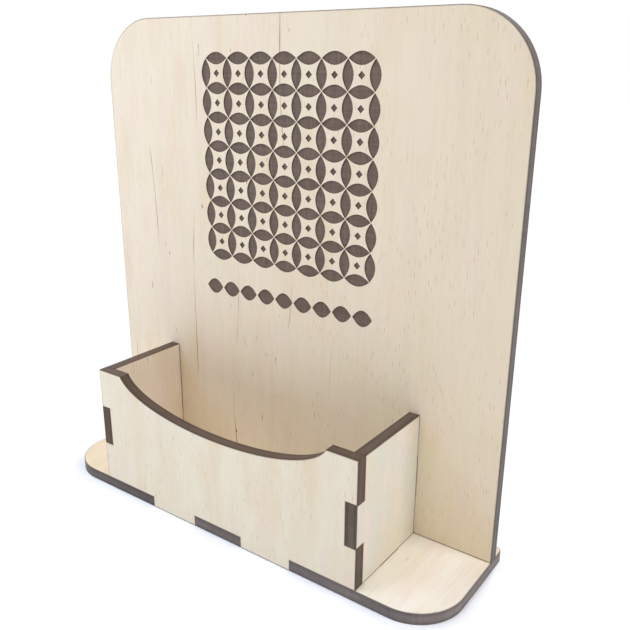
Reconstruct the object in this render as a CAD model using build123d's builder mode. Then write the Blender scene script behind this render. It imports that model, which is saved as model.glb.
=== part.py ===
from build123d import *
import math
import os

# Desk stand for business cards, made of five sheets of laser-cut birch plywood.
# The sheets hold each other by fingers and tabs, and are glued.
# Millimetres, +Z up, +X to the right, +Y to the back. The origin is under the middle of the base.

# Sheet and joints
ply = 3.6  # thickness of every sheet
joint_gap = 0.05  # room at each side of a finger in its slot
overrun = 2.0  # how far a notch's cut starts outside the sheet

# Pocket for standing cards, measured inside
pocket_width = 94.5
pocket_depth = 29.5
pocket_height = 40.0
pocket_offset = -1.0  # the pocket's middle, from the middle of the base

# Base plate
side_ledge = 24.15  # how far the base runs past the pocket, for a pocket in the middle
rear_ledge = 5.3  # how far the base runs behind the back panel
base_front_radius = 15.0
base_rear_radius = 2.0

# Back panel
back_height = 150.0  # above the base
back_corner_radius = 20.0

# Finger scoop in the front panel's top edge, part of an ellipse
shoulder_width = 10.25  # level edge left at each side of the scoop
scoop_depth = 10.5  # below the top edge
scoop_rise = 2.0  # the ellipse's centre, above the top edge

# Fingers that each edge is divided into
foot_finger_count = 5  # along the pocket's width
wall_finger_count = 3  # along the pocket's height and its depth

# Sizes that follow
pocket_outer = pocket_width + 2 * ply
base_width = pocket_outer + 2 * side_ledge
base_depth = ply + pocket_depth + ply + rear_ledge
foot_finger = pocket_width / foot_finger_count
height_finger = pocket_height / wall_finger_count
depth_finger = pocket_depth / wall_finger_count
scoop_half_chord = pocket_outer / 2 - shoulder_width
scoop_radius_z = scoop_depth + scoop_rise
scoop_radius_x = scoop_half_chord / math.sqrt(1 - (scoop_rise / scoop_radius_z) ** 2)

# Places that follow
front_y = -base_depth / 2  # front face of the front panel and of the base
pocket_front_y = front_y + ply
back_y = pocket_front_y + pocket_depth  # front face of the back panel
back_rear_y = back_y + ply
pocket_middle_y = (pocket_front_y + back_y) / 2
left_x = pocket_offset - pocket_outer / 2
right_x = pocket_offset + pocket_outer / 2
wall_middle_z = ply + pocket_height / 2
wall_top_z = ply + pocket_height
foot_tab_xs = (pocket_offset - foot_finger, pocket_offset + foot_finger)
side_middle_xs = (left_x + ply / 2, right_x - ply / 2)

os.makedirs("parts", exist_ok=True)

# Base plate: the front panel's tabs drop into open notches, the other sheets' tabs into slots
with BuildPart() as base_plate:
    with BuildSketch(Plane.XY):
        Rectangle(base_width, base_depth)
        fillet(vertices().group_by(Axis.Y)[0], base_front_radius)
        fillet(vertices().group_by(Axis.Y)[-1], base_rear_radius)
        with Locations(*[(x, front_y - overrun) for x in foot_tab_xs]):
            Rectangle(
                foot_finger + 2 * joint_gap,
                overrun + ply + joint_gap,
                align=(Align.CENTER, Align.MIN),
                mode=Mode.SUBTRACT,
            )
        with Locations(*[(x, back_y + ply / 2) for x in foot_tab_xs]):
            Rectangle(foot_finger + 2 * joint_gap, ply + 2 * joint_gap, mode=Mode.SUBTRACT)
        with Locations(*[(x, pocket_middle_y) for x in side_middle_xs]):
            Rectangle(ply + 2 * joint_gap, depth_finger + 2 * joint_gap, mode=Mode.SUBTRACT)
    extrude(amount=ply)
base_plate.part.label = "base_plate"
export_step(base_plate.part, "parts/base_plate.step")

# Back panel: stands on the base, with two tabs through it and a slot for each pocket side
with BuildPart() as back_panel:
    with BuildSketch(Plane.XZ.offset(-back_rear_y)):
        with Locations((0, ply)):
            Rectangle(base_width, back_height, align=(Align.CENTER, Align.MIN))
        fillet(vertices().group_by(Axis.Y)[-1], back_corner_radius)
        with Locations(*[(x, 0) for x in foot_tab_xs]):
            Rectangle(foot_finger, ply, align=(Align.CENTER, Align.MIN))
        with Locations(*[(x, wall_middle_z) for x in side_middle_xs]):
            Rectangle(ply + 2 * joint_gap, height_finger + 2 * joint_gap, mode=Mode.SUBTRACT)
    extrude(amount=ply)
back_panel.part.label = "back_panel"
export_step(back_panel.part, "parts/back_panel.step")

# Front panel: flush with the base's front edge, scooped on top, notched at both ends for the sides' fingers
with BuildPart() as front_panel:
    with BuildSketch(Plane.XZ.offset(-pocket_front_y)):
        with Locations((pocket_offset, wall_middle_z)):
            Rectangle(pocket_outer, pocket_height)
        with Locations(*[(x, 0) for x in foot_tab_xs]):
            Rectangle(foot_finger, ply, align=(Align.CENTER, Align.MIN))
        with Locations((pocket_offset, wall_top_z + scoop_rise)):
            Ellipse(scoop_radius_x, scoop_radius_z, mode=Mode.SUBTRACT)
        with Locations((left_x - overrun, wall_middle_z)):
            Rectangle(
                overrun + ply + joint_gap,
                height_finger + 2 * joint_gap,
                align=(Align.MIN, Align.CENTER),
                mode=Mode.SUBTRACT,
            )
        with Locations((right_x + overrun, wall_middle_z)):
            Rectangle(
                overrun + ply + joint_gap,
                height_finger + 2 * joint_gap,
                align=(Align.MAX, Align.CENTER),
                mode=Mode.SUBTRACT,
            )
    extrude(amount=ply)
front_panel.part.label = "front_panel"
export_step(front_panel.part, "parts/front_panel.step")

# Pocket sides: the middle finger reaches through the front and back panels, a tab goes down through the base
for side_name, side_x in (("left_side", left_x), ("right_side", right_x - ply)):
    with BuildPart() as pocket_side:
        with BuildSketch(Plane.YZ.offset(side_x)):
            with Locations((pocket_middle_y, wall_middle_z)):
                Rectangle(pocket_depth, pocket_height)
                Rectangle(ply + pocket_depth + ply, height_finger)
            with Locations((pocket_middle_y, 0)):
                Rectangle(depth_finger, ply, align=(Align.CENTER, Align.MIN))
        extrude(amount=ply)
    pocket_side.part.label = side_name
    export_step(pocket_side.part, f"parts/{side_name}.step")

print(f"base {base_width:.1f} x {base_depth:.1f}, stand {ply + back_height:.1f} high")
print(f"pocket {pocket_width:.1f} wide, {pocket_depth:.1f} deep, {pocket_height:.1f} high")
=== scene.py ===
# %% [markdown]
# # A plywood stand for business cards
# The stand is five sheets of birch plywood, cut by laser, pushed together by fingers and tabs, and glued.
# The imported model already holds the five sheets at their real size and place. This script dresses them:
# it eases the cut edges, engraves the back panel, gives each surface its finish, and lights the whole.
# Everything is in metres, in the model's own frame: +X right, +Y back, +Z up, the origin under the base.

# %% Load the model
import math

import bmesh
import bpy
from mathutils import Matrix, Vector


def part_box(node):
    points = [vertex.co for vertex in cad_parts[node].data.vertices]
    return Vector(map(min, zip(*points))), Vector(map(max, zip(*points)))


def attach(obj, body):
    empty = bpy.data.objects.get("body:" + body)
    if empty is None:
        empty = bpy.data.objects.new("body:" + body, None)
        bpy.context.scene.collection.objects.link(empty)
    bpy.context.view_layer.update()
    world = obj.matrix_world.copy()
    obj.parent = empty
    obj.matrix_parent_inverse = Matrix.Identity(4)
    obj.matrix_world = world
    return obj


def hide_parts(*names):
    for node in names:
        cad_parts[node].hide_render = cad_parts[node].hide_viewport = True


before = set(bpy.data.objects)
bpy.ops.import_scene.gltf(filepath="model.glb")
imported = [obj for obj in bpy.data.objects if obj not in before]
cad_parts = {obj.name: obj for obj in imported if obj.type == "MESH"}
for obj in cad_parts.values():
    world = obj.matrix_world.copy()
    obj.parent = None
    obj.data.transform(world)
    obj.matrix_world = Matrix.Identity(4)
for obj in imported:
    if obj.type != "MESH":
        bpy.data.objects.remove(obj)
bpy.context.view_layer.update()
print("sheets:", sorted(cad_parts))

# %% [markdown]
# ## Three helpers
# Colours are written as sRGB hex values, the way a colour picker shows them. Blender's shaders work in
# linear light, so one function converts them. A second function adds a node to a tree, sets its
# properties, and fills its inputs: a plain value is typed in, and another node is linked. A third starts
# an empty material. With these, a tree is written down node by node, as it would be drawn in the editor.

# %% Colours, nodes and materials
MM = 0.001


def linear(hex_colour):
    """Linear RGBA of an sRGB colour such as #F0E6D2."""
    channels = [int(hex_colour[i : i + 2], 16) / 255 for i in (1, 3, 5)]
    return [c / 12.92 if c <= 0.04045 else ((c + 0.055) / 1.055) ** 2.4 for c in channels] + [1]


def add_node(tree, kind, inputs=None, **settings):
    """A new node. Inputs are named or numbered, and a node given as an input lends its first output."""
    node = tree.nodes.new(kind)
    for name, value in settings.items():
        setattr(node, name, value)
    for key, value in (inputs or {}).items():
        in_use = [s for s in node.inputs if s.enabled]
        socket = in_use[key] if isinstance(key, int) else next(s for s in in_use if s.name == key)
        if isinstance(value, bpy.types.Node):
            value = next(s for s in value.outputs if s.enabled)
        if isinstance(value, bpy.types.NodeSocket):
            tree.links.new(value, socket)
        else:
            socket.default_value = value
    return node


def new_material(name):
    """An empty node material and its tree."""
    material = bpy.data.materials.new(name)
    material.use_nodes = True
    material.node_tree.nodes.clear()
    return material, material.node_tree


print("cream in linear light:", [round(c, 3) for c in linear("#F0E6D2")[:3]])

# %% [markdown]
# ## How a sheet lies
# Wood has a direction. The uprights' fibres run up and down, and the base's run from front to back. Every
# pattern below is drawn for a sheet that lies flat, with X across the fibres, Y along them and Z through
# the sheet. A UV map could lay the faces flat, but the cut edges would need maps of their own. A Mapping
# node turns the model's coordinates into that flat sheet, true to size all over. It also moves each sheet
# to a stretch of veneer of its own, so that no two sheets show the same marks.

# %% Directions of the five sheets
X, Y, Z = Vector((1, 0, 0)), Vector((0, 1, 0)), Vector((0, 0, 1))
SHEETS = {  # sheet: across the fibres, along the fibres, through the sheet
    "base_plate": (X, Y, Z),
    "back_panel": (X, Z, -Y),
    "front_panel": (X, Z, -Y),
    "left_side": (Y, Z, X),
    "right_side": (Y, Z, X),
}
VENEER_STEP = Vector((337, 470, 53)) * MM  # from one sheet's place on the veneer to the next


def veneer_place(sheet):
    """The sheet's own place on the veneer."""
    return VENEER_STEP * (1 + list(SHEETS).index(sheet))


def flat_sheet(tree, sheet):
    """A point's place on the sheet laid flat, in metres."""
    return add_node(
        tree,
        "ShaderNodeMapping",
        {
            "Vector": add_node(tree, "ShaderNodeTexCoord").outputs["Object"],
            "Rotation": Matrix(SHEETS[sheet]).to_euler(),
            "Location": veneer_place(sheet),
        },
    )


print("places on the veneer, m:", {sheet: round(veneer_place(sheet).x, 2) for sheet in SHEETS})

# %% [markdown]
# ## Streaks
# Most of what makes wood look like wood is streaks along its fibres: the fine ones are the fibres, and the
# wide ones are soft bands of colour. A Wave texture could draw them, but it repeats too evenly. A Noise
# texture doesn't repeat, and its grains are round and one unit across. Dividing the flat sheet by a grain's
# real size, small across the fibres and large along them, stretches the grains into streaks of that size.
# Real birch fibres are under 0.1 mm wide, too fine to show from a step away, so they are drawn wider.

# %% Streaks along the fibres
FIBRE_GRAIN = Vector((0.6, 11.0, 0.6)) * MM  # across the fibres, along them and through the sheet


def streaks(tree, flat, grain, detail=2.0, roughness=0.55):
    """Soft streaks, from 0 to 1, with grains of that size."""
    in_grains = add_node(tree, "ShaderNodeVectorMath", {0: flat, 1: grain}, operation="DIVIDE")
    return add_node(
        tree,
        "ShaderNodeTexNoise",
        {"Vector": in_grains, "Scale": 1.0, "Detail": detail, "Roughness": roughness},
    )


print("fibres drawn, mm:", [round(size / MM, 1) for size in FIBRE_GRAIN])

# %% [markdown]
# ## Pores
# Fine tubes run along the fibres of birch. Where the knife that peeled the veneer opened one, it left a
# short brown dash. There are too many to model one by one, so a Voronoi texture scatters them: it puts one
# point at random into each of its cells, the cells are drawn out along the fibres, and a dash is what lies
# close to a point. Each column of cells is shifted by chance, or the dashes would stand in rows, and a soft
# noise gathers them in patches. Real pores are too fine to show, so they are drawn a few times wider.

# %% Pores
PORE_WIDTH = 0.25 * MM
PORE_LENGTH = 2.6 * MM
PORE_SPACING = 3.2  # a cell's size, in pores
PORE_CELL = Vector((PORE_WIDTH, PORE_LENGTH, PORE_WIDTH)) * PORE_SPACING
PORE_RIM, PORE_HEART = 0.5 / PORE_SPACING, 0.2 / PORE_SPACING  # from a pore's middle, in cells
PORE_SHARE = 0.8  # how many of the cells hold a pore
PATCH_GRAIN = Vector((12.0, 30.0, 12.0)) * MM
PATCH_RIM, PATCH_HEART = 0.35, 0.58  # levels of the noise


def pores(tree, flat):
    """Short fine dashes along the fibres, from 0 to 1."""
    cells = add_node(tree, "ShaderNodeVectorMath", {0: flat, 1: PORE_CELL}, operation="DIVIDE")
    split = add_node(tree, "ShaderNodeSeparateXYZ", {"Vector": cells})
    column = add_node(tree, "ShaderNodeMath", {0: split}, operation="FLOOR")
    shift = add_node(tree, "ShaderNodeTexWhiteNoise", {"W": column}, noise_dimensions="1D")
    along = add_node(tree, "ShaderNodeMath", {0: split.outputs["Y"], 1: shift})
    shifted = add_node(tree, "ShaderNodeCombineXYZ", {"X": split, "Y": along})
    cell = add_node(
        tree,
        "ShaderNodeTexVoronoi",
        {"Vector": shifted, "Scale": 1.0},
        voronoi_dimensions="2D",
    )
    dash = add_node(
        tree,
        "ShaderNodeMapRange",
        {"Value": cell, "From Min": PORE_RIM, "From Max": PORE_HEART},
        interpolation_type="SMOOTHSTEP",
    )
    lot = add_node(tree, "ShaderNodeSeparateColor", {"Color": cell.outputs["Color"]})
    drawn = add_node(tree, "ShaderNodeMath", {0: lot, 1: PORE_SHARE}, operation="LESS_THAN")
    patch = add_node(
        tree,
        "ShaderNodeMapRange",
        {"Value": streaks(tree, flat, PATCH_GRAIN), "From Min": PATCH_RIM, "From Max": PATCH_HEART},
    )
    for share in (drawn, lot.outputs["Green"], patch):
        dash = add_node(tree, "ShaderNodeMath", {0: dash, 1: share}, operation="MULTIPLY")
    return dash


print("one cell for a pore, mm:", [round(size / MM, 2) for size in PORE_CELL[:2]])

# %% [markdown]
# ## Growth lines
# Each year's growth ends in a thin layer of denser, darker wood. The knife runs nearly along these layers,
# so a peeled face shows only a few of them, as thin lines far apart that wander along the fibres and fade
# out here and there. They could be drawn as curves and laid on the face. It is simpler to fold the distance
# across the sheet to and fro, which gives even lines of a real width and spacing. A large soft noise then
# bends them, and a second one wipes out most of their length.

# %% Growth lines
LINE_SPACING = 19.0 * MM
LINE_WIDTH = 0.6 * MM
LINE_WANDER = 20.0 * MM
WANDER_GRAIN = Vector((45.0, 110.0, 45.0)) * MM
STRETCH_GRAIN = Vector((14.0, 38.0, 14.0)) * MM
STRETCH_RIM, STRETCH_HEART = 0.5, 0.68  # levels of the noise


def growth_lines(tree, flat):
    """Thin wandering lines along the fibres, from 0 to 1, that fade out here and there."""
    wander = streaks(tree, flat, WANDER_GRAIN, detail=1.0)
    split = add_node(tree, "ShaderNodeSeparateXYZ", {"Vector": flat})
    across = add_node(tree, "ShaderNodeMath", {0: split, 1: LINE_SPACING}, operation="DIVIDE")
    bent = add_node(
        tree,
        "ShaderNodeMath",
        {0: wander, 1: LINE_WANDER / LINE_SPACING, 2: across},
        operation="MULTIPLY_ADD",
    )
    # Measured in spacings, no point is more than half a spacing from a line.
    from_line = add_node(tree, "ShaderNodeMath", {0: bent, 1: 0.5}, operation="PINGPONG")
    line = add_node(
        tree,
        "ShaderNodeMapRange",
        {"Value": from_line, "From Min": LINE_WIDTH / LINE_SPACING / 2, "From Max": 0.0},
        interpolation_type="SMOOTHSTEP",
    )
    stretch = add_node(
        tree,
        "ShaderNodeMapRange",
        {
            "Value": streaks(tree, flat, STRETCH_GRAIN),
            "From Min": STRETCH_RIM,
            "From Max": STRETCH_HEART,
        },
    )
    return add_node(tree, "ShaderNodeMath", {0: line, 1: stretch}, operation="MULTIPLY")


print(f"growth lines: {LINE_WIDTH / MM:.1f} mm wide, {LINE_SPACING / MM:.0f} mm apart")

# %% [markdown]
# ## Painted shade in the seams
# Where a sheet stands on the base or against the back panel, a thin dark line runs along the seam. It is
# painted shade, where the seam lies in shadow. The feet of the front panel's tabs, which stand open in the
# base's front edge, show the same painted line. Dark strips of mesh could lie in the seams, but there is no
# room for them. The model says where the seams are, so each upright sheet's own material goes dark close
# to them.

# %% Painted shade in the seams
SEAM_WIDTH = 0.35 * MM
base_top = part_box("base_plate")[1].z
panel_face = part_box("back_panel")[0].y


def painted_seam_shade(tree, sheet):
    """Painted shade on an upright sheet, from 0 to 1, along its foot and where it meets the back panel."""
    place = add_node(
        tree,
        "ShaderNodeSeparateXYZ",
        {"Vector": add_node(tree, "ShaderNodeTexCoord").outputs["Object"]},
    )
    foot_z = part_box(sheet)[0].z if sheet == "front_panel" else base_top
    foot = add_node(
        tree,
        "ShaderNodeMapRange",
        {"Value": place.outputs["Z"], "From Min": foot_z + SEAM_WIDTH, "From Max": foot_z},
    )
    if sheet in ("front_panel", "back_panel"):
        return foot
    back = add_node(
        tree,
        "ShaderNodeMapRange",
        {"Value": place.outputs["Y"], "From Min": panel_face - SEAM_WIDTH, "From Max": panel_face},
    )
    return add_node(tree, "ShaderNodeMath", {0: foot, 1: back}, operation="MAXIMUM")


print(f"seams: {base_top / MM:.1f} mm up on the base, {panel_face / MM:.1f} mm back on the panel")

# %% [markdown]
# ## Birch face veneer
# Birch plywood is faced with veneer peeled off a turning log. Sanded and left bare it is a pale cream with
# little figure: soft bands, warmer and pinker clouds, and short brown flecks where an insect fed under the
# bark. Each sheet was cut from another stretch of veneer, so its tint is its own. On the wide sheets the
# colour changes from left to right. On the back panel it darkens towards the right, which is painted shade,
# and the marks change there too. Pictures of veneer could be wrapped on, but they repeat and bring their own
# light along. So the colour is glazed on in layers, each with its own pattern, strength and tint.
# Beside a cut, the laser's smoke browns the face for a fraction of a millimetre. The mesh carries that as
# an attribute named scorch, 1 on the cut's rim and 0 inside it.

# %% Looks of the five veneers
VENEER_LOOKS = {  # pale colour, then strength of pores, growth lines and flecks, each at the left and right
    "base_plate": (("#EEDFBE", "#F0EBE2"), (0.15, 0.15), (0.2, 0.2), (0.2, 0.2)),
    # The back panel's right colour is darker: painted shade.
    "back_panel": (("#EEE1C9", "#E8DABF"), (0.3, 0.5), (1.0, 0.0), (1.0, 0.0)),
    "front_panel": (("#ECE4CC", "#EAE1CA"), (0.5, 0.5), (0.12, 0.12), (0.1, 0.1)),
    "left_side": (("#EBDFD5", "#EBDFD5"), (0.35, 0.35), (0.4, 0.4), (0.5, 0.5)),
    "right_side": (("#D4D2C6", "#D4D2C6"), (0.4, 0.4), (0.2, 0.2), (0.3, 0.3)),
}
CHANGE_START, CHANGE_END = 0.42, 0.72  # of the way to the right, for the marks


def from_left(tree, flat, sheet):
    """How far a point lies from the sheet's left or front edge to the other one, from 0 to 1."""
    across = SHEETS[sheet][0]
    first, last = [veneer_place(sheet).x + across.dot(corner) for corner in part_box(sheet)]
    return add_node(
        tree,
        "ShaderNodeMapRange",
        {
            "Value": add_node(tree, "ShaderNodeSeparateXYZ", {"Vector": flat}),
            "From Min": first,
            "From Max": last,
        },
    )


print("veneer looks:", len(VENEER_LOOKS))

# %% Layers of the veneer's colour
FIGURE_GRAIN = Vector((6.0, 22.0, 6.0)) * MM
WARMTH_GRAIN = Vector((8.0, 32.0, 8.0)) * MM
FLECK_GRAIN = Vector((1.3, 8.0, 1.3)) * MM


def veneer_layers(tree, flat, sheet, grain, place):
    """Patterns, each with where it starts to show, where it is full, how strong it is, and its colour."""
    figure = streaks(tree, flat, FIGURE_GRAIN, detail=2.5)
    warmth = streaks(tree, flat, WARMTH_GRAIN, detail=2.5)
    scorch = add_node(tree, "ShaderNodeAttribute", attribute_name="scorch").outputs["Fac"]
    pore_strength, line_strength, fleck_strength = [
        add_node(
            tree,
            "ShaderNodeMapRange",
            {
                "Value": place,
                "From Min": CHANGE_START,
                "From Max": CHANGE_END,
                "To Min": left,
                "To Max": right,
            },
            interpolation_type="SMOOTHSTEP",
        )
        for left, right in VENEER_LOOKS[sheet][1:]
    ]
    layers = [
        (grain, 0.55, 0.25, 0.5, "#DCCAAE"),
        (warmth, 0.5, 0.2, 0.6, "#E3CCA8"),
        (figure, 0.5, 0.8, 0.55, "#EBD5C6"),
        (figure, 0.5, 0.2, 0.45, "#E4DABB"),
        (pores(tree, flat), 0.0, 0.8, pore_strength, "#A8865C"),
        (growth_lines(tree, flat), 0.0, 0.8, line_strength, "#9A6E1C"),
        (streaks(tree, flat, FLECK_GRAIN), 0.725, 0.77, fleck_strength, "#7C5A14"),
        (scorch, 0.2, 1.0, 0.75, "#7A604A"),
    ]
    if sheet != "base_plate":
        # A thin dark line of painted shade along the seams.
        layers.append((painted_seam_shade(tree, sheet), 0.0, 0.7, 0.9, "#432A12"))
    return layers


print("flecks drawn, mm wide and long:", [round(size / MM, 1) for size in FLECK_GRAIN[:2]])

# %% Birch veneer
BAND_GRAIN = Vector((5.0, 70.0, 5.0)) * MM
BAND_SHARE = 0.45  # of the grain, the rest is fibres


def birch_veneer(sheet):
    """Bare sanded birch face veneer, its fibres along the sheet's own direction."""
    # It looks pale, warm and dull. Its open fibres scatter the light, so it has half the usual reflection.
    material, tree = new_material(f"birch_veneer_{sheet}")
    flat = flat_sheet(tree, sheet)
    fibres = streaks(tree, flat, FIBRE_GRAIN, detail=3.0)
    grain = add_node(
        tree,
        "ShaderNodeMix",
        {"Factor": BAND_SHARE, "A": fibres, "B": streaks(tree, flat, BAND_GRAIN)},
        data_type="FLOAT",
    )
    place = from_left(tree, flat, sheet)
    # From the left colour to the right one; the back panel's darker right is painted shade.
    left, right = VENEER_LOOKS[sheet][0]
    wood = add_node(
        tree,
        "ShaderNodeMix",
        {"Factor": place, "A": linear(left), "B": linear(right)},
        data_type="RGBA",
    )
    for pattern, first, full, strength, colour in veneer_layers(tree, flat, sheet, grain, place):
        factor = add_node(
            tree,
            "ShaderNodeMapRange",
            {"Value": pattern, "From Min": first, "From Max": full, "To Max": strength},
        )
        wood = add_node(
            tree,
            "ShaderNodeMix",
            {"Factor": factor, "A": wood, "B": linear(colour)},
            data_type="RGBA",
        )
    roughness = add_node(tree, "ShaderNodeMapRange", {"Value": fibres, "To Min": 0.56, "To Max": 0.68})
    relief = add_node(
        tree,
        "ShaderNodeBump",
        {"Height": grain, "Strength": 0.35, "Distance": 0.04 * MM},
    )
    surface = add_node(
        tree,
        "ShaderNodeBsdfPrincipled",
        {
            "Base Color": wood,
            "Roughness": roughness,
            "Normal": relief,
            "IOR": 1.5,
            "Specular IOR Level": 0.25,
        },
    )
    add_node(tree, "ShaderNodeOutputMaterial", {"Surface": surface})
    return material


VENEERS = {sheet: birch_veneer(sheet) for sheet in SHEETS}
print("veneer nodes:", {sheet: len(veneer.node_tree.nodes) for sheet, veneer in VENEERS.items()})

# %% [markdown]
# ## Laser-cut edge
# A laser burns its way through the sheet, so every cut edge is charred dark brown. Seen close, the three
# plies still show: the outer two are burnt darkest, and the core, whose fibres cross theirs, is lighter.
# The beam leaves fine ripples that run through the sheet. How dark the char is differs from sheet to sheet,
# and along a cut. On the base and the front panel it is also lighter towards the right, which is painted
# light from the right. The plies could be separate meshes, but they are glued into one sheet, and the
# distance from the sheet's middle tells them apart just as well.

# %% Core ply
CORE_CLEAR, CORE_END = 0.6 * MM, 1.1 * MM  # from the sheet's middle


def sheet_middle(sheet):
    """The middle of the sheet's box."""
    return sum(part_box(sheet), Vector()) / 2


def core_ply(tree, flat, sheet):
    """How clearly the core ply shows on a cut edge, from 0 to 1."""
    middle = SHEETS[sheet][2].dot(sheet_middle(sheet)) + veneer_place(sheet).z
    split = add_node(tree, "ShaderNodeSeparateXYZ", {"Vector": flat})
    depth = add_node(tree, "ShaderNodeMath", {0: split.outputs["Z"], 1: middle}, operation="SUBTRACT")
    from_middle = add_node(tree, "ShaderNodeMath", {0: depth}, operation="ABSOLUTE")
    return add_node(
        tree,
        "ShaderNodeMapRange",
        {"Value": from_middle, "From Min": CORE_END, "From Max": CORE_CLEAR},
        interpolation_type="SMOOTHSTEP",
    )


print("middle of the base, mm up:", round(sheet_middle("base_plate").z / MM, 2))

# %% Laser-cut edge
# The base's and the front panel's right colours are lighter: painted light from the right.
CHARS = {  # sheet: its char's colour, left and right
    "base_plate": ("#554C48", "#6A605D"),
    "back_panel": ("#514845", "#514845"),
    "front_panel": ("#453529", "#4C3B2F"),
    "left_side": ("#483524", "#483524"),
    "right_side": ("#4D3F34", "#4D3F34"),
}
RIPPLE_GRAIN = Vector((0.9, 0.9, 14.0)) * MM
BLOTCH_GRAIN = Vector((11.0, 11.0, 3.0)) * MM
BLOTCH_SHARE = 0.45  # of the burn, the rest is ripples
CORE_GAIN = 0.7  # how much brighter the core is at most, in parts of the char


def laser_cut_edge(sheet):
    """Charred plywood edge: plies in layers through the sheet, the beam's ripples across them."""
    # It looks dark brown with a paler line in the middle. Char is smooth, so it has a faint sheen.
    material, tree = new_material(f"charred_birch_edge_{sheet}")
    flat = flat_sheet(tree, sheet)
    ripple = streaks(tree, flat, RIPPLE_GRAIN, detail=3.0, roughness=0.5)
    blotch = streaks(tree, flat, BLOTCH_GRAIN, roughness=0.5)
    burn = add_node(
        tree,
        "ShaderNodeMix",
        {"Factor": BLOTCH_SHARE, "A": ripple, "B": blotch},
        data_type="FLOAT",
    )
    shade = add_node(
        tree,
        "ShaderNodeMapRange",
        {"Value": burn, "From Min": 0.3, "From Max": 0.7, "To Min": 0.65, "To Max": 1.1},
    )
    core = add_node(
        tree,
        "ShaderNodeMath",
        {0: core_ply(tree, flat, sheet), 1: blotch},
        operation="MULTIPLY",
    )
    brightness = add_node(
        tree,
        "ShaderNodeMath",
        {0: core, 1: CORE_GAIN, 2: shade},
        operation="MULTIPLY_ADD",
    )
    # From the left colour to the right one; a lighter right is painted light from the right.
    left, right = CHARS[sheet]
    burnt = add_node(
        tree,
        "ShaderNodeMix",
        {"Factor": from_left(tree, flat, sheet), "A": linear(left), "B": linear(right)},
        data_type="RGBA",
    )
    char = add_node(tree, "ShaderNodeVectorMath", {0: burnt, "Scale": brightness}, operation="SCALE")
    relief = add_node(
        tree,
        "ShaderNodeBump",
        {"Height": ripple, "Strength": 0.5, "Distance": 0.05 * MM},
    )
    surface = add_node(
        tree,
        "ShaderNodeBsdfPrincipled",
        {"Base Color": char, "Roughness": 0.6, "Normal": relief, "IOR": 1.5},
    )
    add_node(tree, "ShaderNodeOutputMaterial", {"Surface": surface})
    return material


EDGES = {sheet: laser_cut_edge(sheet) for sheet in SHEETS}
print("charred edges:", len(EDGES))

# %% [markdown]
# ## Finishing a sheet
# No real edge is perfectly sharp. A laser chars the arris, the line where face and edge meet, and sanding
# takes off what is left of its sharpness. A Bevel modifier eases arrises too, but by their angle alone it
# would treat the slots and the outside alike. So each sheet is copied, its doubled corners are welded, and
# its faces are inset by a hair along their rims. Pushing the rim's own corners into the sheet then turns
# that ring into a narrow bevel, as dark as the cut. A finger fills each slot, so its rim hardly shows: it
# is pushed much less and keeps the face's colour. A second inset gives the scorch attribute a ring to fade
# across. The copy stands for the model's sheet, which stays in place for collision.

# %% Rims and outsides
ARRIS = 0.1 * MM
SLOT_ARRIS = 0.02 * MM
SCORCH = 0.4 * MM
FLAT = 0.99  # cosine of the most that a face may lean and still be inset


def inset_rims(bm, through, width):
    """Insets both faces of a sheet along their rims, and along the rims of their openings."""
    for side in (through, -through):
        bmesh.ops.inset_region(
            bm,
            faces=[f for f in bm.faces if f.normal.dot(side) > FLAT],
            thickness=width,
            use_boundary=True,
            use_even_offset=True,
        )


def outside(cut_faces):
    """Those cut faces that go around the sheet's outside, without those of its slots."""
    waiting = [max(cut_faces, key=lambda f: f.calc_center_median().length)]
    found = set(waiting)
    while waiting:
        neighbours = {f for e in waiting.pop().edges for f in e.link_faces if f in cut_faces}
        waiting += neighbours - found
        found |= neighbours
    return found


print(f"arris {ARRIS / MM:.2f} mm, in a slot {SLOT_ARRIS / MM:.2f} mm, scorch {SCORCH / MM:.2f} mm")

# %% Finished sheets
WELD = 0.001 * MM
LEVEL = math.radians(1)  # faces that lean less than that to each other become one
CREASE = math.radians(30)  # edges that bend more than that are shaded sharp
SLOPING = 0.9  # cosine of the least that a bevel leans
VENEER_SLOT, EDGE_SLOT = 0, 1


def finished_mesh(sheet):
    """The model's sheet with eased arrises, two finishes and a scorch attribute."""
    through = SHEETS[sheet][2]
    bm = bmesh.new()
    bm.from_mesh(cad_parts[sheet].data)
    bmesh.ops.remove_doubles(bm, verts=bm.verts, dist=WELD)
    bmesh.ops.dissolve_limit(bm, angle_limit=LEVEL, verts=bm.verts, edges=bm.edges)
    bm.normal_update()
    inset_rims(bm, through, ARRIS)
    cut_faces = {f for f in bm.faces if abs(f.normal.dot(through)) < FLAT}
    outer_corners = {v for f in outside(cut_faces) for v in f.verts}
    for vert in {v for f in cut_faces for v in f.verts}:
        depth = ARRIS if vert in outer_corners else SLOT_ARRIS
        vert.co -= math.copysign(depth, through.dot(vert.co - sheet_middle(sheet))) * through
    bm.normal_update()
    for face in bm.faces:
        face.smooth = True
        face.material_index = VENEER_SLOT if abs(face.normal.dot(through)) > SLOPING else EDGE_SLOT
    inset_rims(bm, through, SCORCH)
    scorch = bm.verts.layers.float.new("scorch")
    for vert in bm.verts:
        vert[scorch] = float(any(f.material_index == EDGE_SLOT for f in vert.link_faces))
    mesh = bpy.data.meshes.new(f"{sheet}_finished")
    bm.to_mesh(mesh)
    bm.free()
    mesh.set_sharp_from_angle(angle=CREASE)
    mesh.materials.append(VENEERS[sheet])
    mesh.materials.append(EDGES[sheet])
    return mesh


def new_object(mesh):
    """An object of that mesh, in the scene."""
    made = bpy.data.objects.new(mesh.name, mesh)
    bpy.context.scene.collection.objects.link(made)
    return made


PIECES = {sheet: new_object(finished_mesh(sheet)) for sheet in SHEETS}
for piece in PIECES.values():
    print(f"{piece.name}: {len(piece.data.polygons)} faces, {len(piece.data.vertices)} corners")

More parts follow.
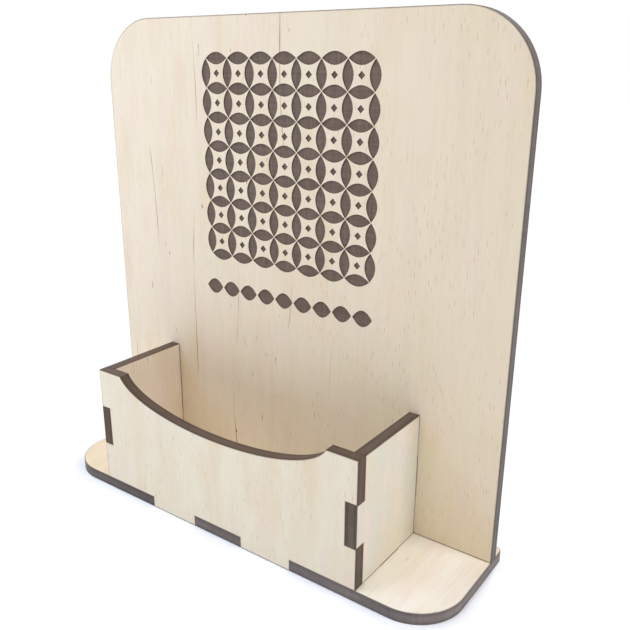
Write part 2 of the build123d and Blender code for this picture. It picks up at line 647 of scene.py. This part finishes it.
# %% [markdown]
# ## Engraved veneer
# A laser engraves as a printer prints, in passes from side to side. It burns the veneer away, here about a
# third of a millimetre deep, and leaves it brown and rough. The fibres show as streaks up and down, and the
# passes as fine lines across them. One dark colour would do from afar, but close up the two patterns tell
# the burnt floor from a charred edge. Real passes lie 0.1 mm apart. They are drawn 0.6 mm apart, or they
# would not show.

# %% Engraved veneer
BURNT_FIBRE_GRAIN = Vector((0.8, 9.0, 0.8)) * MM
PASS_GRAIN = Vector((25.0, 0.6, 5.0)) * MM
PASS_SHARE = 0.4  # of the burn, the rest is fibres


def laser_engraving(sheet):
    """Veneer burnt brown by raster engraving: the fibres show as streaks, the passes as fine lines."""
    # It looks brown and matt, because the burnt fibres stand open and scatter the light.
    material, tree = new_material("laser_engraved_birch")
    flat = flat_sheet(tree, sheet)
    fibres = streaks(tree, flat, BURNT_FIBRE_GRAIN, detail=3.0)
    passes = streaks(tree, flat, PASS_GRAIN, detail=1.0, roughness=0.5)
    burn = add_node(
        tree,
        "ShaderNodeMix",
        {"Factor": PASS_SHARE, "A": fibres, "B": passes},
        data_type="FLOAT",
    )
    shade = add_node(tree, "ShaderNodeMapRange", {"Value": burn, "From Min": 0.3, "From Max": 0.7})
    brown = add_node(
        tree,
        "ShaderNodeMix",
        {"Factor": shade, "A": linear("#57483D"), "B": linear("#786659")},
        data_type="RGBA",
    )
    relief = add_node(
        tree,
        "ShaderNodeBump",
        {"Height": burn, "Strength": 0.6, "Distance": 0.06 * MM},
    )
    surface = add_node(
        tree,
        "ShaderNodeBsdfPrincipled",
        {"Base Color": brown, "Roughness": 0.8, "Normal": relief, "IOR": 1.5},
    )
    add_node(tree, "ShaderNodeOutputMaterial", {"Surface": surface})
    return material


ENGRAVED = laser_engraving("back_panel")
print("engraving finish:", ENGRAVED.name)

# %% [markdown]
# ## Leaf ornament
# The back panel carries a square field of engraving and a narrow band under it. Here they hold a plain
# traditional ornament: leaves along the lines of a square grid, whose tips come together in fours, with a
# small gem in each cell. Each leaf could be placed by hand, but the ornament repeats, so a Geometry Nodes
# tree draws it from a few sizes. The grid's edges become points, each point gets a leaf turned along its
# edge, and the leaves are raised into prisms. The result is a solid tool that can be taken out of the panel.

# %% Inputs of the ornament
ORNAMENT_INPUTS = {
    "Columns": "NodeSocketInt",
    "Rows": "NodeSocketInt",
    "Pitch": "NodeSocketFloat",
    "Leaf Length": "NodeSocketFloat",
    "Leaf Width": "NodeSocketFloat",
    "Gem Size": "NodeSocketFloat",
    "Height": "NodeSocketFloat",
    "Centre": "NodeSocketVector",
    "Material": "NodeSocketMaterial",
}
ornament = bpy.data.node_groups.new("leaf_ornament", "GeometryNodeTree")
for name, kind in ORNAMENT_INPUTS.items():
    ornament.interface.new_socket(name, in_out="INPUT", socket_type=kind)
ornament.interface.new_socket("Geometry", in_out="OUTPUT", socket_type="NodeSocketGeometry")
given = add_node(ornament, "NodeGroupInput").outputs
print("ornament's inputs:", ", ".join(ORNAMENT_INPUTS))

# %% The ornament's grid, with the direction of each edge stored on it
COUNTS = "Columns", "Rows"
size_x, size_y = [
    add_node(ornament, "ShaderNodeMath", {0: given[count], 1: given["Pitch"]}, operation="MULTIPLY")
    for count in COUNTS
]
points_x, points_y = [add_node(ornament, "ShaderNodeMath", {0: given[count], 1: 1.0}) for count in COUNTS]
grid = add_node(
    ornament,
    "GeometryNodeMeshGrid",
    {"Size X": size_x, "Size Y": size_y, "Vertices X": points_x, "Vertices Y": points_y},
)
ends = add_node(ornament, "GeometryNodeInputMeshEdgeVertices").outputs
direction = add_node(
    ornament,
    "ShaderNodeVectorMath",
    {0: ends["Position 2"], 1: ends["Position 1"]},
    operation="SUBTRACT",
)
directed_grid = add_node(
    ornament,
    "GeometryNodeStoreNamedAttribute",
    {"Geometry": grid, "Name": "along", "Value": direction},
    data_type="FLOAT_VECTOR",
    domain="EDGE",
)
print("ornament with its grid:", len(ornament.nodes), "nodes")

# %% One leaf and one gem
# The leaf is a round plate drawn out to two tips, its sides parabolas.
LEAF_CORNERS = 24
GEM_CORNERS = 4
plate = add_node(
    ornament,
    "GeometryNodeMeshCircle",
    {"Vertices": LEAF_CORNERS, "Radius": 1.0},
    fill_type="NGON",
)
on_plate = add_node(ornament, "GeometryNodeInputPosition")
corner = add_node(ornament, "ShaderNodeSeparateXYZ", {"Vector": on_plate}).outputs
off_axis = add_node(ornament, "ShaderNodeMath", {0: corner["Y"]}, operation="ABSOLUTE")
swell = add_node(ornament, "ShaderNodeMath", {0: corner["Y"], 1: off_axis}, operation="MULTIPLY")
drawn_out = add_node(ornament, "ShaderNodeCombineXYZ", {"X": corner["X"], "Y": swell})
leaf_size = add_node(
    ornament,
    "ShaderNodeCombineXYZ",
    {"X": given["Leaf Length"], "Y": given["Leaf Width"]},
)
half_size = add_node(ornament, "ShaderNodeVectorMath", {0: leaf_size, "Scale": 0.5}, operation="SCALE")
on_leaf = add_node(ornament, "ShaderNodeVectorMath", {0: drawn_out, 1: half_size}, operation="MULTIPLY")
leaf = add_node(ornament, "GeometryNodeSetPosition", {"Geometry": plate, "Position": on_leaf})
gem = add_node(
    ornament,
    "GeometryNodeMeshCircle",
    {"Vertices": GEM_CORNERS, "Radius": given["Gem Size"]},
    fill_type="NGON",
)
print("ornament with its leaf and gem:", len(ornament.nodes), "nodes")

# %% Leaves on the grid's edges, gems in its cells
leaf_points = add_node(ornament, "GeometryNodeMeshToPoints", {"Mesh": directed_grid}, mode="EDGES")
stored = add_node(
    ornament,
    "GeometryNodeInputNamedAttribute",
    {"Name": "along"},
    data_type="FLOAT_VECTOR",
)
turned = add_node(ornament, "FunctionNodeAlignRotationToVector", {"Vector": stored}, axis="X")
leaves = add_node(
    ornament,
    "GeometryNodeInstanceOnPoints",
    {"Points": leaf_points, "Instance": leaf, "Rotation": turned},
)
gem_points = add_node(ornament, "GeometryNodeMeshToPoints", {"Mesh": grid}, mode="FACES")
gems = add_node(ornament, "GeometryNodeInstanceOnPoints", {"Points": gem_points, "Instance": gem})
plates = add_node(ornament, "GeometryNodeJoinGeometry")
for instances in (leaves, gems):
    ornament.links.new(instances.outputs["Instances"], plates.inputs["Geometry"])
print("ornament with all its plates:", len(ornament.nodes), "nodes")

# %% Closed prisms that stand on the engraving's floor
QUARTER_TURN = math.radians(90)
bottoms = add_node(ornament, "GeometryNodeRealizeInstances", {"Geometry": plates})
raised = add_node(
    ornament,
    "GeometryNodeExtrudeMesh",
    {"Mesh": bottoms, "Offset Scale": given["Height"], "Individual": False},
    mode="FACES",
)
turned_bottoms = add_node(ornament, "GeometryNodeFlipFaces", {"Mesh": bottoms})
prisms = add_node(ornament, "GeometryNodeJoinGeometry")
for shell in (raised, turned_bottoms):
    ornament.links.new(shell.outputs["Mesh"], prisms.inputs["Geometry"])
closed = add_node(ornament, "GeometryNodeMergeByDistance", {"Geometry": prisms, "Distance": 2 * WELD})
upright = add_node(
    ornament,
    "GeometryNodeTransform",
    {"Geometry": closed, "Translation": given["Centre"], "Rotation": (QUARTER_TURN, 0, 0)},
)
realized = add_node(ornament, "GeometryNodeRealizeInstances", {"Geometry": upright})
burnt = add_node(
    ornament,
    "GeometryNodeSetMaterial",
    {"Geometry": realized, "Material": given["Material"]},
)
add_node(ornament, "NodeGroupOutput", {"Geometry": burnt})
print("whole ornament:", len(ornament.nodes), "nodes")

# %% [markdown]
# ## Engraving the back panel
# The engraving is a real cut with walls and a floor, so that it catches light and shadow from every side. A
# bump in the material would look flat at a slant. Each tool stands in the panel's face, reaches out of it,
# and is taken away by a Boolean modifier, which gives the cut the tool's own finish. The modifier is then
# turned into plain mesh, and the tool is deleted.

# %% Engraving with the ornament
def made_plain(piece):
    """Turns the piece's modifiers into plain mesh."""
    evaluated = piece.evaluated_get(bpy.context.evaluated_depsgraph_get())
    piece.data = bpy.data.meshes.new_from_object(evaluated)
    piece.modifiers.clear()


def ornament_tool(name, **sizes):
    """The ornament as a plain solid mesh object, standing in the panel's face."""
    tool = new_object(bpy.data.meshes.new(name))
    modifier = tool.modifiers.new("ornament", "NODES")
    modifier.node_group = ornament
    for item in ornament.interface.items_tree:
        if item.in_out == "INPUT":
            modifier[item.identifier] = sizes[item.name.replace(" ", "_").lower()]
    made_plain(tool)
    print(f"{name}: {len(tool.data.polygons)} faces")
    return tool


def engrave(piece, tool):
    """Takes the tool out of the piece, which gets the tool's finish where it was cut."""
    cut = piece.modifiers.new("engraving", "BOOLEAN")
    cut.operation = "DIFFERENCE"
    cut.solver = "EXACT"
    cut.material_mode = "TRANSFER"
    cut.object = tool
    made_plain(piece)
    bpy.data.objects.remove(tool)


ENGRAVING_DEPTH = 0.3 * MM
TOOL_OVERRUN = 1.0 * MM  # how far a tool reaches out of the panel
GEM_SHARE = 0.13  # of the pitch
floor_y = panel_face + ENGRAVING_DEPTH
common = {"height": ENGRAVING_DEPTH + TOOL_OVERRUN, "material": ENGRAVED}
print("floor of the engraving, mm back:", round(floor_y / MM, 2))

# %% The square field
FIELD_CELLS = 7
FIELD_PITCH = 8.75 * MM
FIELD_LEAF_LENGTH = 0.97 * FIELD_PITCH
FIELD_LEAF_WIDTH = 0.42 * FIELD_PITCH
FIELD_ASIDE = 0.7 * MM  # its middle, right of the panel's
FIELD_UP = 107.2 * MM  # its middle, above the base
field = ornament_tool(
    "field_tool",
    columns=FIELD_CELLS,
    rows=FIELD_CELLS,
    pitch=FIELD_PITCH,
    leaf_length=FIELD_LEAF_LENGTH,
    leaf_width=FIELD_LEAF_WIDTH,
    gem_size=GEM_SHARE * FIELD_PITCH,
    centre=(FIELD_ASIDE, floor_y, base_top + FIELD_UP),
    **common,
)
engrave(PIECES["back_panel"], field)
print("back panel with its field:", len(PIECES["back_panel"].data.polygons), "faces")

# %% The band, which is one row of leaves without cells
BAND_LEAVES = 9
BAND_PITCH = 7.3 * MM
BAND_LEAF_LENGTH = 0.94 * BAND_PITCH
BAND_LEAF_WIDTH = 0.7 * BAND_PITCH
BAND_UP = 65.2 * MM  # its middle, above the base
band = ornament_tool(
    "band_tool",
    columns=BAND_LEAVES,
    rows=0,
    pitch=BAND_PITCH,
    leaf_length=BAND_LEAF_LENGTH,
    leaf_width=BAND_LEAF_WIDTH,
    gem_size=GEM_SHARE * BAND_PITCH,
    centre=(0.0, floor_y, base_top + BAND_UP),
    **common,
)
engrave(PIECES["back_panel"], band)
print("back panel with its band:", len(PIECES["back_panel"].data.polygons), "faces")

# %% [markdown]
# ## Standing in for the model's sheets
# The stand is glued and nothing on it moves, so it is one body. Each finished sheet rides on that body and
# replaces the plain sheet that it was copied from. One joined mesh would look the same, but the real stand
# is made of five pieces.

# %% Fix the sheets to the model
for sheet, piece in PIECES.items():
    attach(piece, "root")
    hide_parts(sheet)
print("finished sheets:", len(PIECES))

# %% [markdown]
# ## Floor
# The stand was photographed on white. Under soft light a white sheet of paper renders as a pale grey, and
# lamps strong enough to turn it white would bleach the wood too. So to the camera the paper is lifted to
# pure white with the distance from the base, a rectangle with round corners, and only the shadow close to
# the base stays visible. For the light that it throws back up at the stand, the paper stays paper.

# %% White paper
CORNER_RADIUS = 15 * MM
SHADOW_REACH = 8 * MM
corner_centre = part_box("base_plate")[1] - Vector((CORNER_RADIUS, CORNER_RADIUS, 0))


def seen_directly(tree):
    """1 for what the camera sees, also by reflection or through glass, and 0 for all other light."""
    rays = add_node(tree, "ShaderNodeLightPath").outputs
    seen = rays["Is Camera Ray"]
    for kind in ("Is Glossy Ray", "Is Transmission Ray"):
        seen = add_node(tree, "ShaderNodeMath", {0: seen, 1: rays[kind]}, operation="MAXIMUM")
    return seen


def white_paper():
    """Matt white paper, which the camera sees as pure white a little way off the base."""
    # It looks like no floor at all, apart from the soft shadow around the base.
    material, tree = new_material("white_paper")
    place = add_node(tree, "ShaderNodeTexCoord").outputs["Object"]
    one_corner = add_node(tree, "ShaderNodeVectorMath", {0: place}, operation="ABSOLUTE")
    beyond = add_node(tree, "ShaderNodeVectorMath", {0: one_corner, 1: corner_centre}, operation="SUBTRACT")
    beyond = add_node(tree, "ShaderNodeVectorMath", {0: beyond, 1: (0, 0, 0)}, operation="MAXIMUM")
    away = add_node(tree, "ShaderNodeVectorMath", {0: beyond}, operation="LENGTH").outputs["Value"]
    white = add_node(
        tree,
        "ShaderNodeMapRange",
        {"Value": away, "From Min": CORNER_RADIUS, "From Max": CORNER_RADIUS + SHADOW_REACH},
    )
    lift = add_node(tree, "ShaderNodeMath", {0: seen_directly(tree), 1: white}, operation="MULTIPLY")
    paper = add_node(tree, "ShaderNodeBsdfDiffuse", {"Color": linear("#F6F9FF")})
    glow = add_node(tree, "ShaderNodeEmission", {"Color": linear("#FFFFFF"), "Strength": 1.04})
    lifted = add_node(tree, "ShaderNodeMixShader", {0: lift, 1: paper, 2: glow})
    add_node(tree, "ShaderNodeOutputMaterial", {"Surface": lifted})
    return material


PAPER = white_paper()
print("paper:", len(PAPER.node_tree.nodes), "nodes")

# %% Floor
FLOOR_HALF = 3.0
FLOOR_DROP = 0.02 * MM  # below the base, so that the two don't share a plane
SQUARE = ((-1, -1), (1, -1), (1, 1), (-1, 1))
floor_mesh = bpy.data.meshes.new("floor")
floor_mesh.from_pydata([(x * FLOOR_HALF, y * FLOOR_HALF, -FLOOR_DROP) for x, y in SQUARE], [], [(0, 1, 2, 3)])
floor_mesh.materials.append(PAPER)
floor = new_object(floor_mesh)
print("floor:", 2 * FLOOR_HALF, "m square")

# %% [markdown]
# ## Surroundings
# Behind the floor the camera sees plain white too. A white wall could stand there, but the world's own
# background needs no mesh. What lights the stand from all around is a weaker, slightly warm daylight, which
# keeps the shadows in the pocket from going black.

# %% World
world = bpy.data.worlds.new("white_studio")
world.use_nodes = True
sky = world.node_tree
sky.nodes.clear()
daylight = add_node(sky, "ShaderNodeBackground", {"Color": linear("#FFF4E6"), "Strength": 0.2})
backdrop = add_node(sky, "ShaderNodeBackground", {"Color": linear("#FFFFFF"), "Strength": 1.0})
both = add_node(sky, "ShaderNodeMixShader", {0: seen_directly(sky), 1: daylight, 2: backdrop})
add_node(sky, "ShaderNodeOutputWorld", {"Surface": both})
bpy.context.scene.world = world
print("world:", world.name)

# %% [markdown]
# ## Lamps
# The light in the photograph is broad and soft, so each lamp is a wide square, as a photographer's softbox
# is. A sun lamp would be simpler, but it draws hard shadows. One softbox hangs above and in front, and one
# about as strong stands at the right. A weak one at the left lights that end of the base and the floor. A
# small one high behind lights the rear and the strip of base there, and the panel keeps it off the front.
# Two reflectors add the rest: a small bluish one near the panel's upper left corner, which is the brightest
# in the photograph, and a wide low one at the left front.

# %% Lamps
LAMPS = {  # lamp: place, what it is aimed at, width, watts, colour
    "overhead_softbox": ((0.0, -0.35, 0.95), (0, 0, 0.05), 0.6, 4.8, "#F8FAFF"),
    "right_softbox": ((0.9, 0.05, 0.5), (0, 0, 0.05), 0.6, 5.1, "#FFFFFF"),
    "left_softbox": ((-0.7, 0.1, 0.5), (-0.07, 0, 0), 0.4, 1.04, "#FFFFFF"),
    "rear_softbox": ((0.0, 0.4, 0.95), (0, 0.02, 0.05), 0.2, 3.0, "#FFFFFF"),
    "left_reflector": ((-0.22, -0.2, 0.33), (-0.05, 0.01, 0.13), 0.2, 0.58, "#D0DEFF"),
    "low_reflector": ((-0.7, -0.5, 0.12), (0, 0, 0.09), 0.45, 1.1, "#FFFFFF"),
}
for name, (place, aim, width, watts, colour) in LAMPS.items():
    lamp = bpy.data.lights.new(name, "AREA")
    lamp.size = width
    lamp.energy = watts
    lamp.color = linear(colour)[:3]
    stand = bpy.data.objects.new(name, lamp)
    stand.location = place
    stand.rotation_euler = (Vector(aim) - Vector(place)).to_track_quat("-Z", "Y").to_euler()
    bpy.context.scene.collection.objects.link(stand)
print("lamps:", ", ".join(LAMPS))

# %% [markdown]
# ## Camera
# The view was worked out from the straight edges in the photograph: where the camera stood, which way it
# looked, and how wide. It was held almost upright, with under half a degree of roll. A Track To constraint
# could aim it, but would not give it that roll, so the camera is turned by a matrix.

# %% Camera
CAMERA_PLACE = Vector((138.28, -163.99, 138.99)) * MM
CAMERA_AZIMUTH = math.radians(35.611)
CAMERA_ELEVATION = math.radians(18.481)
CAMERA_ROLL = math.radians(0.383)
SENSOR_WIDTH, LENS = 36.0, 42.368  # in millimetres, as Blender wants them
CLIP_START = 1 * MM
towards = Vector(
    (
        -math.sin(CAMERA_AZIMUTH) * math.cos(CAMERA_ELEVATION),
        math.cos(CAMERA_AZIMUTH) * math.cos(CAMERA_ELEVATION),
        -math.sin(CAMERA_ELEVATION),
    )
)
turn = towards.to_track_quat("-Z", "Y").to_matrix() @ Matrix.Rotation(CAMERA_ROLL, 3, "Z")
camera_data = bpy.data.cameras.new("camera")
camera_data.sensor_width = SENSOR_WIDTH
camera_data.lens = LENS
camera_data.clip_start = CLIP_START
camera = bpy.data.objects.new("camera", camera_data)
camera.matrix_world = Matrix.Translation(CAMERA_PLACE) @ turn.to_4x4()
bpy.context.scene.collection.objects.link(camera)
bpy.context.scene.camera = camera
bpy.context.scene.view_settings.view_transform = "Standard"
print("camera:", [round(c, 3) for c in camera.location])
